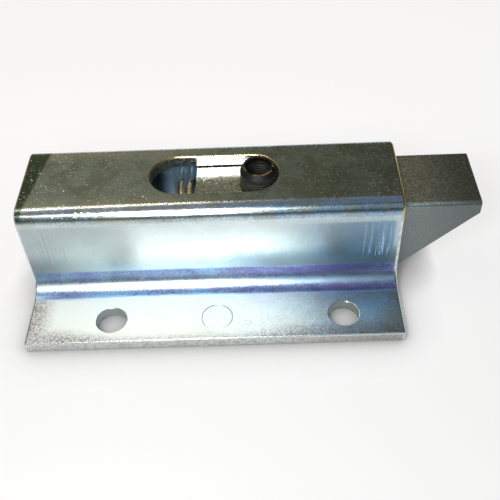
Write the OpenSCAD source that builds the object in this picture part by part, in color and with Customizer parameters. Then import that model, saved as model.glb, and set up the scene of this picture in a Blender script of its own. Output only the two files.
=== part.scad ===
/* [Housing] */
// Length of the folded housing, from its rear end to its front end
housing_len = 121; // [110:1:160]
// Thickness of the sheet that the housing is folded from
sheet = 4; // [3:0.5:5]
// Inside radius of the two sharp bends beside the top
top_bend_r = 0.5; // [0.3:0.1:1]
// Inside radius of the two wide bends between a wall and its foot
foot_bend_r = 6; // [4:0.5:8]
// How far a foot reaches out from the outer face of its wall
foot_reach = 23.5; // [21:0.5:30]

/* [Mounting holes] */
// Diameter of the four mounting holes in the feet
hole_d = 10; // [8:0.5:11]
// Distance between the holes along the housing
hole_pitch_x = 75; // [60:1:90]
// Distance from a hole's centre to the outer edge of its foot
hole_inset = 8.7; // [7:0.1:11]
// How far the hole pattern's centre stands ahead of the housing's middle
pattern_lead = 4; // [0:0.5:6]
// Diameter of the closed punching between the two front holes
plug_d = 10; // [8:0.5:11]
// How far that punching stands ahead of the housing's middle
plug_lead = 0.8; // [0:0.1:4]
// Gap all round the slug that closes it
plug_gap = 0.05; // [0.02:0.01:0.1]

/* [Finger slot] */
// Length of the slot in the top, from end to end
slot_len = 41; // [38:0.5:46]
// Width of the slot
slot_w = 17.6; // [14:0.1:19]
// Distance from the slot's front end to the housing's front end
slot_front_inset = 38.7; // [34:0.1:42]
// How far the slot's centre line stands towards +Y from the housing's own
slot_shift = 0.5; // [0:0.1:1]

/* [Bolt] */
// Width of the bar
bolt_w = 25; // [24:0.5:30]
// Height of the bar
bolt_h = 32; // [28:0.5:36]
// Length of the bar from its rear face to its nose
bolt_len = 90; // [84:0.5:94]
// How far the bolt stands out of the housing at rest
bolt_throw = 24.5; // [20:0.5:27]
// Height of the blunt face at the nose
nose_flat = 4.5; // [3:0.5:8]
// Angle of the ramp under the nose, from the horizontal
ramp_angle = 44; // [40:1:50]
// Radius of the bar's long edges
bolt_edge_r = 1.3; // [0.8:0.1:2]
// Gap between the bar and each wall
side_gap = 0.2; // [0.2:0.05:0.5]
// Gap between the bar and the top
top_gap = 0.5; // [0.2:0.05:0.6]
// Gap between the bar and the surface that the housing is fixed to
base_gap = 0.8; // [0.5:0.1:1.5]

/* [Finger pin] */
// Outer diameter of the slotted pin
pin_d = 12; // [10:0.5:13]
// Wall of the slotted pin
pin_wall = 1.8; // [1.4:0.1:2.4]
// Length of the slotted pin
pin_len = 35; // [30:1:38]
// How far the pin stands above the housing's top
pin_proud = 2.9; // [2:0.1:5]
// Height of the chamfer at each end of the pin
pin_chamfer_h = 1.5; // [1:0.1:2]
// Width of the chamfer at each end of the pin
pin_chamfer_w = 1.1; // [0.6:0.1:1.2]
// Width of the slit down the pin
pin_slit = 1.6; // [1:0.1:2.5]
// Direction of the slit, turned from the nose's direction
pin_slit_angle = -18; // [-90:1:90]
// Gap between the pin and the slot's front end at rest
pin_stop_gap = 0.1; // [0.05:0.05:0.3]

/* [Spring] */
// Thickness of the spring's wire
wire_d = 2.2; // [1.8:0.1:2.5]
// Gap between the spring and each wall
spring_side_gap = 0.7; // [0.4:0.05:2]
// Gap between the spring and the top
spring_top_gap = 1.3; // [0.5:0.1:3]
// Closed turns at each end
closed_turns = 1.4; // [1:0.1:2]
// Turns between the closed ones
open_turns = 3.5; // [3:0.5:5]
// Distance from turn to turn in the closed ends
closed_pitch = 2.6; // [2.5:0.1:3]

/* [Rear stop] */
// Thickness of the end plate
plate_t = 4; // [3:0.5:5]
// How far the plate is set in from the housing's rear end
plate_inset = 3; // [2:0.5:5]
// Gap between the plate and the sheet round it, bridged by the welds
plate_gap = 0.1; // [0.05:0.05:0.2]
// Leg of each weld bead
weld_leg = 2.4; // [2:0.1:3]
// Length of the stud and of the spigot that centre the spring
spigot_len = 4.5; // [3:0.5:5]
// Gap between the spring and the spigots inside it
spigot_gap = 0.3; // [0.2:0.05:0.6]
// Diameter of the stud's shank in the plate
shank_d = 10; // [6:0.5:12]

/* [Hidden] */
$fn = 64;
// Cuts and bores run past the faces by this much
past = 1;
// Rounding of the stud's and the spigot's free ends
lead_in = 0.8;
// Segments in one turn of the spring
turn_steps = 20;
// Sides of the spring's wire
wire_sides = 8;
// Where the wire ends behind the bolt, turned round the spring's axis from +Y
wire_end_angle = 215;

bolt_bottom = base_gap;
bolt_top = bolt_bottom + bolt_h;
top_under = bolt_top + top_gap;
housing_h = top_under + sheet;
inner_w = bolt_w + 2 * side_gap;
outer_w = inner_w + 2 * sheet;
outer_foot_r = foot_bend_r + sheet;
foot_bend_y = inner_w / 2 + outer_foot_r;
foot_edge_y = outer_w / 2 + foot_reach;

rear_x = -housing_len / 2 - pattern_lead;
front_x = rear_x + housing_len;
plug_x = rear_x + housing_len / 2 + plug_lead;
foot_hole_y = foot_edge_y - hole_inset;
slot_front_x = front_x - slot_front_inset;
slot_rear_x = slot_front_x - slot_len;

nose_x = front_x + bolt_throw;
bolt_rear_x = nose_x - bolt_len;
ramp_run = (bolt_h - nose_flat) / tan(ramp_angle);
pin_x = slot_front_x - pin_stop_gap - pin_d / 2;
pin_top = housing_h + pin_proud;

plate_rear_x = rear_x + plate_inset;
plate_front_x = plate_rear_x + plate_t;
spring_d = inner_w - 2 * spring_side_gap;
spring_z = top_under - spring_top_gap - spring_d / 2;
spring_r = (spring_d - wire_d) / 2;
spigot_r = spring_d / 2 - wire_d - spigot_gap;
spring_len = bolt_rear_x - plate_front_x;
turns = open_turns + 2 * closed_turns;
closed_len = closed_turns * closed_pitch;
open_pitch = (spring_len - wire_d - 2 * closed_len) / open_turns;
wire_start_angle = wire_end_angle - 360 * turns;

// Draws a section in Y and Z, and runs it forward from x for len
module along_x(x, len) {
    translate([x, 0, 0])
        rotate([90, 0, 90])
            linear_extrude(height = len)
                children();
}

// A quarter of a bend's section, round its centre, in the quadrant given by the two signs
module bend(inner_r, side_y, side_z) {
    outer_r = inner_r + sheet;
    intersection() {
        difference() {
            circle(r = outer_r);
            circle(r = inner_r);
        }
        translate([side_y > 0 ? 0 : -outer_r, side_z > 0 ? 0 : -outer_r])
            square(outer_r);
    }
}

// One side of the folded section, from the top's middle to the foot's edge
module half_section() {
    wall_low = outer_foot_r;
    wall_high = top_under - top_bend_r;
    top_half = inner_w / 2 - top_bend_r;
    translate([0, top_under])
        square([top_half, sheet]);
    translate([top_half, wall_high])
        bend(top_bend_r, 1, 1);
    translate([inner_w / 2, wall_low])
        square([sheet, wall_high - wall_low]);
    translate([foot_bend_y, wall_low])
        bend(foot_bend_r, -1, -1);
    translate([foot_bend_y, 0])
        square([foot_edge_y - foot_bend_y, sheet]);
}

// A rectangle with round corners, standing on z = low
module round_bar_section(width, low, height, r) {
    translate([-width / 2 + r, low])
        square([width - 2 * r, height]);
    translate([-width / 2, low + r])
        square([width, height - 2 * r]);
    for (y = [-1, 1], z = [low + r, low + height - r])
        translate([y * (width / 2 - r), z])
            circle(r = r);
}

// The long slot with half-round ends
module slot_cut() {
    r = slot_w / 2;
    depth = sheet + 2 * past;
    translate([0, slot_shift, top_under - past]) {
        translate([slot_rear_x + r, -r, 0])
            cube([slot_len - slot_w, slot_w, depth]);
        for (x = [slot_rear_x + r, slot_front_x - r])
            translate([x, 0, 0])
                cylinder(d = slot_w, h = depth);
    }
}

module foot_hole(x, y, d) {
    translate([x, y, -past])
        cylinder(d = d, h = sheet + 2 * past);
}

module housing() {
    color("lightsteelblue")
        difference() {
            along_x(rear_x, housing_len)
                union() {
                    half_section();
                    mirror([1, 0, 0]) half_section();
                }
            slot_cut();
            for (x = [-1, 1], y = [-1, 1])
                foot_hole(x * hole_pitch_x / 2, y * foot_hole_y, hole_d);
            foot_hole(plug_x, -foot_hole_y, plug_d);
        }
}

module hole_plug() {
    color("silver")
        translate([plug_x, -foot_hole_y, 0])
            cylinder(d = plug_d - 2 * plug_gap, h = sheet);
}

// The bar's outline seen from the side, with its ramped nose
module bolt_outline() {
    polygon([
        [bolt_rear_x, bolt_bottom],
        [nose_x - ramp_run, bolt_bottom],
        [nose_x, bolt_top - nose_flat],
        [nose_x, bolt_top],
        [bolt_rear_x, bolt_top]
    ]);
}

module bolt() {
    color("slategray")
        difference() {
            union() {
                intersection() {
                    along_x(bolt_rear_x, bolt_len)
                        round_bar_section(bolt_w, bolt_bottom, bolt_h, bolt_edge_r);
                    translate([0, bolt_w / 2 + past, 0])
                        rotate([90, 0, 0])
                            linear_extrude(height = bolt_w + 2 * past)
                                bolt_outline();
                }
                spigot(bolt_rear_x, -1, past);
            }
            translate([pin_x, 0, bolt_bottom - past])
                cylinder(d = pin_d, h = bolt_h + 2 * past);
        }
}

// A round peg inside the spring's end turns, standing out of the face at x in the direction given
// and starting root deep inside it
module spigot(x, direction, root) {
    translate([x, 0, spring_z])
        rotate([0, 90 * direction, 0]) {
            translate([0, 0, -root])
                cylinder(r = spigot_r, h = spigot_len - lead_in + root);
            translate([0, 0, spigot_len - lead_in])
                cylinder(r1 = spigot_r, r2 = spigot_r - lead_in, h = lead_in);
        }
}

module finger_pin() {
    rim_r = pin_d / 2 - pin_chamfer_w;
    color("dimgray")
        translate([pin_x, 0, pin_top - pin_len])
            difference() {
                union() {
                    cylinder(r1 = rim_r, r2 = pin_d / 2, h = pin_chamfer_h);
                    translate([0, 0, pin_chamfer_h])
                        cylinder(d = pin_d, h = pin_len - 2 * pin_chamfer_h);
                    translate([0, 0, pin_len - pin_chamfer_h])
                        cylinder(r1 = pin_d / 2, r2 = rim_r, h = pin_chamfer_h);
                }
                translate([0, 0, -past])
                    cylinder(d = pin_d - 2 * pin_wall, h = pin_len + 2 * past);
                rotate([0, 0, pin_slit_angle])
                    translate([0, -pin_slit / 2, -past])
                        cube([pin_d, pin_slit, pin_len + 2 * past]);
            }
}

// How far the wire's centre has moved forward after t turns
function wire_x(t) =
    t < closed_turns ? t * closed_pitch
    : t < closed_turns + open_turns ? closed_len + (t - closed_turns) * open_pitch
    : closed_len + open_turns * open_pitch + (t - closed_turns - open_turns) * closed_pitch;

// A point on the wire's skin after t turns, at the angle a round the wire
function wire_point(t, a) =
    let (reach = spring_r + wire_d / 2 * cos(a), turn = 360 * t + wire_start_angle)
    [
        plate_front_x + wire_d / 2 + wire_x(t) + wire_d / 2 * sin(a),
        reach * cos(turn),
        spring_z + reach * sin(turn)
    ];

module spring() {
    rings = round(turns * turn_steps);
    points = [
        for (i = [0:rings], j = [0:wire_sides - 1])
            wire_point(i * turns / rings, j * 360 / wire_sides)
    ];
    sides = [
        for (i = [0:rings - 1], j = [0:wire_sides - 1])
            let (a = i * wire_sides, next = (j + 1) % wire_sides)
            [a + j, a + next, a + wire_sides + next, a + wire_sides + j]
    ];
    first = [for (j = [wire_sides - 1:-1:0]) j];
    last = [for (j = [0:wire_sides - 1]) rings * wire_sides + j];
    color("gray")
        polyhedron(points = points, faces = concat([first, last], sides), convexity = 10);
}

module end_plate() {
    width = inner_w - 2 * plate_gap;
    height = top_under - plate_gap - bolt_bottom;
    color("lightgray")
        difference() {
            along_x(plate_rear_x, plate_t)
                round_bar_section(width, bolt_bottom, height, top_bend_r);
            translate([plate_rear_x - past, 0, spring_z])
                rotate([0, 90, 0])
                    cylinder(d = shank_d, h = plate_t + 2 * past);
        }
}

module spring_stud() {
    color("silver") {
        spigot(plate_front_x, 1, 0);
        translate([plate_rear_x, 0, spring_z])
            rotate([0, 90, 0])
                cylinder(d = shank_d, h = plate_t + past);
    }
}

// A quarter-round bead in the corner behind the plate, from z = 0 up, on the +Y side
module weld_bead(len) {
    intersection() {
        cylinder(r = weld_leg, h = len);
        translate([-weld_leg, -weld_leg, 0])
            cube([weld_leg, weld_leg, len]);
    }
}

module wall_weld() {
    translate([plate_rear_x, inner_w / 2, outer_foot_r])
        weld_bead(top_under - weld_leg - outer_foot_r);
}

module weld_front() {
    color("gainsboro")
        mirror([0, 1, 0]) wall_weld();
}

module weld_rear() {
    color("gainsboro")
        wall_weld();
}

module weld_top() {
    reach = inner_w / 2 - weld_leg;
    color("gainsboro")
        translate([plate_rear_x, reach, top_under])
            rotate([90, 0, 0])
                weld_bead(2 * reach);
}

housing();
hole_plug();
bolt();
finger_pin();
spring();
end_plate();
spring_stud();
weld_front();
weld_rear();
weld_top();
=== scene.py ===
"""Dresses the flush end bolt: the folded and plated housing, the bar, the slotted pin and the spring."""
import math
from types import SimpleNamespace

import bmesh
import bpy
from mathutils import Matrix, Quaternion, Vector


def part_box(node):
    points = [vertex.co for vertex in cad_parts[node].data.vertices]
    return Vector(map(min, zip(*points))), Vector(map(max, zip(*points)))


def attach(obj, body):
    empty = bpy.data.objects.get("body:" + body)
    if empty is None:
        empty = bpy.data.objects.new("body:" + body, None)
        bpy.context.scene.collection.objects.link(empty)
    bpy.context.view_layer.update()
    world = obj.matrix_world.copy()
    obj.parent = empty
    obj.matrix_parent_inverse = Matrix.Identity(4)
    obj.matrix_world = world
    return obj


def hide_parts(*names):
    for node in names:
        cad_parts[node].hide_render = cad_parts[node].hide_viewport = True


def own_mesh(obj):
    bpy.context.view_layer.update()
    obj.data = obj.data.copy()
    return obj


bl_info = {
    "name": "Flush end bolt",
    "version": (1, 0, 0),
    "blender": (4, 5, 0),
    "location": "View3D > Sidebar > End bolt",
    "description": "Models and finishes a sprung end bolt in its folded, zinc plated housing",
    "category": "Object",
}

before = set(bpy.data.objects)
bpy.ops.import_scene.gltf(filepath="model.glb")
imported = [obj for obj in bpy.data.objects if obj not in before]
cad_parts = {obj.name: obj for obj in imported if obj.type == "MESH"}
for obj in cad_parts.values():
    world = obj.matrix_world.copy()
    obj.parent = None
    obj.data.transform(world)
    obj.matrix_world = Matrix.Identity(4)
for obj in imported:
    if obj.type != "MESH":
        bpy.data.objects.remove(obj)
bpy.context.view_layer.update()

MM = 0.001
PAST = 1 * MM
SHARP = math.radians(30)
# Places and faces count as the same within these distances
CLOSE, NEAR_FACE = MM / 100, MM / 10
# How finely round forms are drawn, and how much the large faces rule the shading
SPUN_SIDES, EDGE_STEPS, FLAT_WEIGHT = 96, 3, 80
HOUSING_BODY = "housing_body"
BOLT_BODY = "bolt_body"
HOUSING_LOW, HOUSING_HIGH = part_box("housing")
BOLT_LOW, BOLT_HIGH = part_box("bolt")
PIN_LOW, PIN_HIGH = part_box("finger_pin")
PLUG_LOW, PLUG_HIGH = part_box("hole_plug")
PLATE_LOW, PLATE_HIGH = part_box("end_plate")
STUD_LOW, STUD_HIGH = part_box("spring_stud")
SPRING_LOW, SPRING_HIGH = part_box("spring")
SPRING_AXIS = (SPRING_LOW + SPRING_HIGH) / 2


def length(name, description, default, digits=2):
    """A length for the sidebar, given in millimetres"""
    return bpy.props.FloatProperty(
        name=name, description=description, default=default * MM, min=0.0,
        unit="LENGTH", subtype="DISTANCE", precision=digits)


def colour(name, description, default):
    """A finish colour for the sidebar"""
    return bpy.props.FloatVectorProperty(
        name=name, description=description, default=default, min=0.0, max=1.0,
        size=3, subtype="COLOR")


class HousingSizes(bpy.types.PropertyGroup):
    """The folded housing with its slot and its holes"""
    sheet: length("Sheet", "Thickness of the folded sheet", 4.0)
    wall_y: length("Wall", "From the middle to the outer face of a wall", 16.7)
    top_bend: length("Top bend", "Outer radius of the bends beside the top", 4.5)
    foot_bend: length("Foot bend", "Visible radius between a wall and its foot", 6.0)
    slot_front: length("Slot front", "Front end of the finger slot", 17.8)
    slot_length: length("Slot length", "Length of the finger slot", 41.0)
    slot_width: length("Slot width", "Width of the finger slot", 17.6)
    slot_shift: length("Slot shift", "How far the slot stands behind the middle", 0.5)
    hole_size: length("Holes", "Diameter of the mounting holes", 10.0)
    hole_pitch: length("Hole pitch", "Distance of the holes along the housing", 75.0)
    hole_y: length("Hole rows", "From the middle to a row of holes", 31.5)
    rolled_end: length("Rolled end", "Rounding that the shear leaves at the housing's ends", 1.2)
    rolled_edge: length("Rolled edge", "Rounding of every other edge", 0.6)
    hole_edge: length("Hole edge", "Rounding of the punched holes", 0.22)
    sharp_edge: length("Sharp edge", "Rounding where the punch came out of the slot", 0.12)


class BoltSizes(bpy.types.PropertyGroup):
    """The sliding bar with its ramped nose"""
    edge_round: length("Edge radius", "Radius of the bar's long edges", 1.3)
    nose_flat: length("Nose flat", "Height of the blunt face at the nose", 4.5)
    ramp_angle: bpy.props.FloatProperty(
        name="Ramp", description="Angle of the ramp under the nose, from the horizontal",
        default=math.radians(44), subtype="ANGLE")
    broken_edge: length("Broken edge", "Rounding of the sawn and milled edges", 0.3)
    spigot_length: length("Spigot", "Length of the peg inside the spring", 4.5)
    spigot_radius: length("Spigot radius", "Radius of that peg", 9.5)
    spigot_lead: length("Spigot lead", "Chamfer at the end of that peg", 0.8)


class PinSizes(bpy.types.PropertyGroup):
    """The slotted pin that is both the stop and the finger hold"""
    wall: length("Wall", "Wall of the slotted pin", 1.8)
    chamfer_height: length("Chamfer height", "Height of the chamfer at each end", 1.5)
    chamfer_width: length("Chamfer width", "Width of the chamfer at each end", 1.1)
    slit: length("Slit", "Width of the slit down the pin", 1.6)
    slit_angle: bpy.props.FloatProperty(
        name="Slit direction", description="Direction of the slit, from the nose's direction",
        default=math.radians(-18), subtype="ANGLE")
    edge_round: length("Edge", "Rounding of the pin's edges", 0.15)


class SpringSizes(bpy.types.PropertyGroup):
    """The compression spring between the end plate and the bar"""
    wire: length("Wire", "Thickness of the wire", 2.2)
    closed_pitch: length("Closed pitch", "Distance between the closed turns", 2.6)
    closed_turns: bpy.props.FloatProperty(
        name="Closed turns", description="Closed turns at each end", default=1.4)
    open_turns: bpy.props.FloatProperty(
        name="Open turns", description="Turns between the closed ones", default=3.5)
    end_angle: bpy.props.FloatProperty(
        name="Wire end", description="Where the wire ends behind the bar, from +Y",
        default=math.radians(215), subtype="ANGLE")
    squeezed: bpy.props.FloatProperty(
        name="Squeezed", description="Share of its length that is left with the bolt drawn in",
        default=20.0 / 48.5, min=0.1, max=1.0)


class RearStopSizes(bpy.types.PropertyGroup):
    """The welded end plate and the stud that centres the spring"""
    shank: length("Shank", "Diameter of the stud's shank in the plate", 10.0)
    stud_lead: length("Lead", "Rounding of the free end of the stud", 0.8)
    bead_leg: length("Bead", "Leg of each weld bead", 2.4)
    ripple: length("Ripple", "Distance between the ripples of a bead", 1.3)
    edge_round: length("Edge", "Rounding of the plate's edges", 0.35)


class PlatingColours(bpy.types.PropertyGroup):
    """Colours of the finishes"""
    zinc: colour("Zinc", "Bright zinc", (0.68, 0.77, 0.80))
    blue: colour("Blue film", "Thin blue passivation film", (0.30, 0.50, 0.72))
    violet: colour("Violet film", "Thicker violet passivation film", (0.18, 0.17, 0.42))
    speck: colour("Speck", "Coarse zinc crystals", (1.0, 0.93, 0.74))
    sheared: colour("Sheared edge", "Plated cut edge of the sheet", (0.66, 0.50, 0.28))
    fracture: colour("Fracture", "Rough part of a cut edge", (0.30, 0.26, 0.21))
    rolled: colour("Rolled edge", "Warm tone of the rounded edges", (0.66, 0.53, 0.28))
    inside: colour("Inside", "Bluish zinc inside the housing", (0.38, 0.60, 0.80))
    bar: colour("Bar", "Satin zinc of the bar and the stud", (0.22, 0.26, 0.255))
    foot_edge: colour("Foot edge", "Long cut edge of a foot", (0.78, 0.79, 0.75))
    black: colour("Black oxide", "Blackened spring steel of the pin", (0.090, 0.095, 0.090))
    copper: colour("Copper rim", "Rim of the pin, rubbed bright", (0.62, 0.34, 0.17))


class StageSettings(bpy.types.PropertyGroup):
    """Floor, light and camera"""
    floor_tone: bpy.props.FloatProperty(
        name="Floor", description="How pale the floor is", default=0.20, min=0.0, max=1.0)
    key_power: bpy.props.FloatProperty(
        name="Key light", description="Power of the lamp beside the camera",
        default=0.56, min=0.0, unit="POWER")
    lens: length("Lens", "Focal length of the camera", 53.868)


# Mesh helpers


def make_piece(name, bm):
    """Turns the bmesh into an object of the scene, with its faces looking outwards"""
    bmesh.ops.recalc_face_normals(bm, faces=bm.faces)
    mesh = bpy.data.meshes.new(name)
    bm.to_mesh(mesh)
    bm.free()
    piece = bpy.data.objects.new(name, mesh)
    bpy.context.scene.collection.objects.link(piece)
    return piece


def settle(piece):
    """Applies the piece's modifiers to its mesh"""
    shown = piece.evaluated_get(bpy.context.evaluated_depsgraph_get())
    mesh = bpy.data.meshes.new_from_object(shown)
    piece.modifiers.clear()
    mesh.name = piece.name
    piece.data = mesh


def join_or_cut(piece, tool, operation="DIFFERENCE"):
    """Cuts the tool out of the piece, or joins the two, and throws the tool away"""
    modifier = piece.modifiers.new("cut", "BOOLEAN")
    modifier.operation = operation
    modifier.solver = "EXACT"
    modifier.object = tool
    settle(piece)
    bpy.data.objects.remove(tool)


def round_edges(piece, width, segments=EDGE_STEPS, finish_index=-1, weighted_edges=False):
    """Rounds the sharp edges and keeps the flat faces flat in the light"""
    piece.data.shade_smooth()
    bevel = piece.modifiers.new("rolled edges", "BEVEL")
    bevel.width = width
    bevel.segments = segments
    bevel.limit_method = "WEIGHT" if weighted_edges else "ANGLE"
    bevel.angle_limit = SHARP
    bevel.use_clamp_overlap = False
    bevel.miter_outer = "MITER_ARC"
    bevel.material = finish_index
    weighted = piece.modifiers.new("flat faces", "WEIGHTED_NORMAL")
    weighted.weight = FLAT_WEIGHT


def drum(name, radius, start, end):
    """A cylinder between two points"""
    start, end = Vector(start), Vector(end)
    run = end - start
    turn = run.to_track_quat("Z", "Y").to_matrix().to_4x4()
    bm = bmesh.new()
    bmesh.ops.create_cone(
        bm, cap_ends=True, segments=SPUN_SIDES, radius1=radius, radius2=radius, depth=run.length,
        matrix=Matrix.Translation((start + end) / 2) @ turn)
    return make_piece(name, bm)


def boxed(low, high):
    """A bmesh of the box between two corners"""
    low, high = Vector(low), Vector(high)
    bm = bmesh.new()
    size = Matrix.Diagonal((*(high - low), 1.0))
    bmesh.ops.create_cube(bm, size=1.0, matrix=Matrix.Translation((low + high) / 2) @ size)
    return bm


def block(name, low, high):
    """A box between two corners"""
    return make_piece(name, boxed(low, high))


def turned(name, profile, centre, axis):
    """A turned part: the profile of (radius, distance) points spun round the axis"""
    centre, axis = Vector(centre), Vector(axis)
    side = axis.orthogonal().normalized()
    bm = bmesh.new()
    verts = [bm.verts.new(centre + side * r + axis * d) for r, d in profile]
    edges = [bm.edges.new(pair) for pair in zip(verts, verts[1:])]
    if profile[0][0] > 0:
        edges.append(bm.edges.new((verts[-1], verts[0])))
    bmesh.ops.spin(
        bm, geom=verts + edges, cent=centre, axis=axis, angle=math.tau, steps=SPUN_SIDES,
        use_merge=True)
    bmesh.ops.remove_doubles(bm, verts=bm.verts, dist=CLOSE / 10)
    return make_piece(name, bm)


def only_finish(piece, *materials):
    """Gives the piece these materials and no others"""
    piece.data.materials.clear()
    for material in materials:
        piece.data.materials.append(material)


def finish_piece(piece, body, slot, *nodes):
    """Hides the CAD nodes that the piece stands for and hangs the piece on what it moves with; the slot
    is not used
    """
    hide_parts(*nodes)
    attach(piece, body)


# Shader helpers


def add(tree, kind, inputs=None, **settings):
    """A node with its settings and inputs; an input is a value or a socket to link"""
    made = tree.nodes.new(kind)
    for name, value in settings.items():
        setattr(made, name, value)
    for name, value in (inputs or {}).items():
        if isinstance(value, bpy.types.NodeSocket):
            tree.links.new(value, made.inputs[name])
        else:
            made.inputs[name].default_value = value
    return made


def calc(tree, operation, first, second=0.0):
    """One sum on numbers"""
    return add(tree, "ShaderNodeMath", {0: first, 1: second}, operation=operation).outputs[0]


def product(tree, *masks):
    """The masks multiplied together"""
    result = masks[0]
    for mask in masks[1:]:
        result = calc(tree, "MULTIPLY", result, mask)
    return result


def total(tree, *values):
    """The values added up"""
    result = values[0]
    for value in values[1:]:
        result = calc(tree, "ADD", result, value)
    return result


def left_over(tree, mask):
    """What a mask leaves"""
    return calc(tree, "SUBTRACT", 1.0, mask)


def from_half(tree, value):
    """A noise value made to swing to both sides of nought"""
    return calc(tree, "SUBTRACT", value, 0.5)


def away_from(tree, value, middle=0.0):
    """How far a place is from the middle, which is given in millimetres"""
    return calc(tree, "ABSOLUTE", calc(tree, "SUBTRACT", value, middle * MM))


def axes_of(tree, place):
    """The three coordinates of the place"""
    return add(tree, "ShaderNodeSeparateXYZ", {"Vector": place}).outputs


def vector_sum(tree, operation, first, second):
    """One sum on vectors"""
    return add(tree, "ShaderNodeVectorMath", {0: first, 1: second},
               operation=operation).outputs[0]


def tilted(tree, normal, tilt, amount):
    """The normal leant over by the tilt of each crystal"""
    lean = add(tree, "ShaderNodeVectorMath", {0: tilt, "Scale": amount},
               operation="SCALE").outputs[0]
    return add(tree, "ShaderNodeVectorMath", {0: vector_sum(tree, "ADD", normal, lean)},
               operation="NORMALIZE").outputs[0]


def fade(tree, value, start, end, low=0.0, high=1.0):
    """Goes smoothly from low to high while the value goes from start to end"""
    return add(tree, "ShaderNodeMapRange",
               {"Value": value, "From Min": start, "From Max": end, "To Min": low, "To Max": high},
               interpolation_type="SMOOTHSTEP").outputs[0]


def over(tree, place, stretch, low=0.0, high=1.0):
    """Goes smoothly from low to high along a stretch, whose two ends are in millimetres"""
    start, end = stretch
    return fade(tree, place, start * MM, end * MM, low, high)


def mix(tree, factor, first, second):
    """Mixes two colours"""
    made = tree.nodes.new("ShaderNodeMix")
    made.data_type = "RGBA"
    made.clamp_factor = True
    for index, value in ((0, factor), (6, first), (7, second)):
        if isinstance(value, bpy.types.NodeSocket):
            tree.links.new(value, made.inputs[index])
        else:
            made.inputs[index].default_value = value if index == 0 else (*value[:3], 1.0)
    return made.outputs[2]


def noise(tree, vector, scale, detail=2.0, roughness=0.5, distortion=0.0):
    """A noise value between about 0 and 1"""
    return add(tree, "ShaderNodeTexNoise",
               {"Vector": vector, "Scale": scale, "Detail": detail, "Roughness": roughness,
                "Distortion": distortion}).outputs["Fac"]


def drawn_out(tree, vector, scale, detail=1.0, turn=0.0):
    """Noise with a scale of its own along each axis, turned round the upright one"""
    stretched = add(tree, "ShaderNodeMapping",
                    {"Vector": vector, "Scale": scale, "Rotation": (0.0, 0.0, turn)}).outputs[0]
    return noise(tree, stretched, 1.0, detail)


def bump(tree, height, distance, below=None):
    """A bump, as deep as the distance in millimetres, on top of another one"""
    inputs = {"Height": height, "Distance": distance * MM, "Strength": 1.0}
    if below is not None:
        inputs["Normal"] = below
    return add(tree, "ShaderNodeBump", inputs).outputs[0]


def start_group(name, inputs, outputs):
    """An empty node group with its named sockets"""
    tree = bpy.data.node_groups.new(name, "ShaderNodeTree")
    for label, kind in inputs:
        tree.interface.new_socket(label, in_out="INPUT", socket_type=kind)
    for label, kind in outputs:
        tree.interface.new_socket(label, in_out="OUTPUT", socket_type=kind)
    return tree, tree.nodes.new("NodeGroupInput"), tree.nodes.new("NodeGroupOutput")


def use_group(tree, name, maker, inputs):
    """Places the node group of that name, which is made once, with its inputs"""
    made = tree.nodes.new("ShaderNodeGroup")
    made.node_tree = bpy.data.node_groups.get(name) or maker(name)
    for label, value in inputs.items():
        if isinstance(value, bpy.types.NodeSocket):
            tree.links.new(value, made.inputs[label])
        elif isinstance(value, float):
            made.inputs[label].default_value = value
        else:
            made.inputs[label].default_value = (*value[:3], 1.0)
    return made.outputs


VECTOR, NUMBER, COLOUR = "NodeSocketVector", "NodeSocketFloat", "NodeSocketColor"

# How fine the patterns of the plating are, as noise scales per metre
CLUSTERS, STAINS, MOTTLE, GRAIN = 160.0, 150.0, 420.0, 1900.0
# How strongly the bright crystals keep together, and where a crystal ends in its cell
CLUSTERING = 0.35
CRYSTAL_EDGE, CRYSTAL_CORE = 0.55, 0.30


def crystal_group(name):
    """Fine zinc crystals: bright specks, a mottled tone, a tilt and a height"""
    tree, given, result = start_group(
        name, [("Position", VECTOR), ("Scale", NUMBER), ("Share", NUMBER)],
        [("Specks", NUMBER), ("Grain", NUMBER), ("Mottle", NUMBER), ("Patches", NUMBER),
         ("Tilt", VECTOR), ("Height", NUMBER)])
    place = given.outputs["Position"]
    cells = add(tree, "ShaderNodeTexVoronoi", {"Vector": place, "Scale": given.outputs["Scale"]})
    draw = add(tree, "ShaderNodeSeparateColor", {"Color": cells.outputs["Color"]}).outputs[0]
    cluster = noise(tree, place, CLUSTERS, 3.0)
    draw = total(tree, draw, product(tree, from_half(tree, cluster), CLUSTERING))
    chosen = calc(tree, "GREATER_THAN", draw, left_over(tree, given.outputs["Share"]))
    specks = product(tree, chosen,
                     fade(tree, cells.outputs["Distance"], CRYSTAL_EDGE, CRYSTAL_CORE),
                     fade(tree, cluster, 0.35, 0.65, 0.45, 1.0))
    grain = noise(tree, place, GRAIN, 2.0, 0.6)
    tilt = vector_sum(tree, "SUBTRACT", cells.outputs["Color"], (0.5, 0.5, 0.5))
    everywhere = add(tree, "ShaderNodeCombineXYZ", {0: specks, 1: specks, 2: specks}).outputs[0]
    for label, value in (
            ("Specks", specks),
            ("Grain", grain),
            ("Mottle", noise(tree, place, MOTTLE, 4.0, 0.65)),
            ("Patches", noise(tree, place, STAINS, 3.0, 0.6)),
            ("Tilt", vector_sum(tree, "MULTIPLY", tilt, everywhere)),
            ("Height", total(tree, grain, product(tree, draw, 0.6)))):
        tree.links.new(value, result.inputs[label])
    return tree


# The scratches' directions, in radians from the housing's length, and how thin they are
SCRATCHES = ((0.18, 900.0), (-0.5, 700.0), (1.2, 800.0))


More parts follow.
